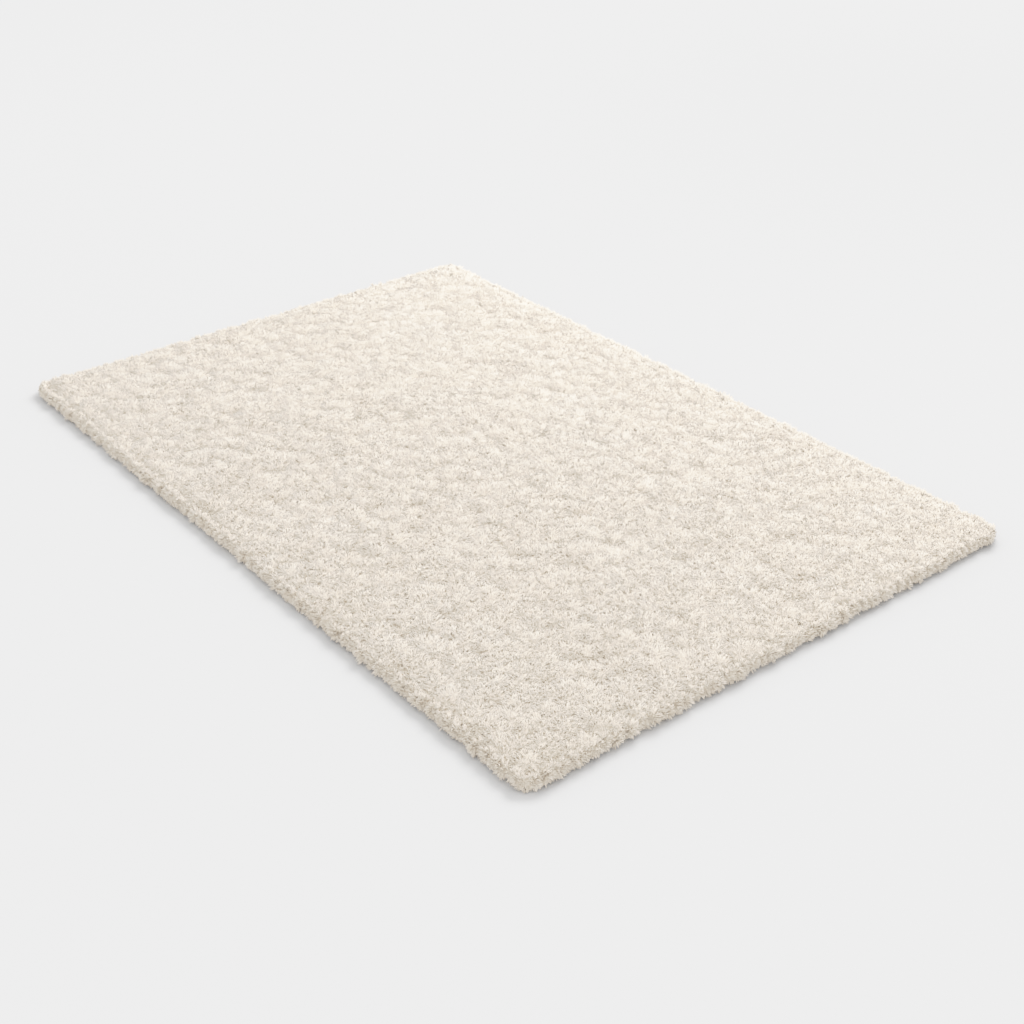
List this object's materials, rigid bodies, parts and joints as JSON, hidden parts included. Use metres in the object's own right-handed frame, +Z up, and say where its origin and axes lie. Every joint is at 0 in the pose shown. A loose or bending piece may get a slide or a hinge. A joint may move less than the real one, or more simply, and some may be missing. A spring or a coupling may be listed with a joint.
{
  "type": "area rug",
  "caption": "Rectangular deep-pile shag area rug: soft cream tufts on a layered woven backing with a taped edge all round, lying flat.",
  "frame": {"origin": "centre of the underside, on the floor", "axes": "+Z up out of the pile, +Y along the rug's length, +X across its width"},
  "size_m": [1.36, 2.015, 0.035],
  "materials": {
    "pile_yarn": "soft matte cream yarn, deep shag",
    "primary_cloth": "coarse plain weave, matte",
    "latex": "filled latex, satin",
    "secondary_cloth": "open plain weave, matte",
    "binding_tape": "cotton twill tape, matte",
    "sewing_thread": "twisted thread, soft sheen",
    "label_cloth": "blank woven tab, soft sheen"
  },
  "bodies": {
    "root": {"pile": "pile_yarn", "primary_backing": "primary_cloth", "latex_coat": "latex", "secondary_backing": "secondary_cloth", "care_label": "label_cloth", "binding_left": "binding_tape", "binding_right": "binding_tape", "binding_front": "binding_tape", "binding_back": "binding_tape", "binding_stitch_left": "sewing_thread", "binding_stitch_right": "sewing_thread", "binding_stitch_front": "sewing_thread", "binding_stitch_back": "sewing_thread"}
  },
  "joints": []
}
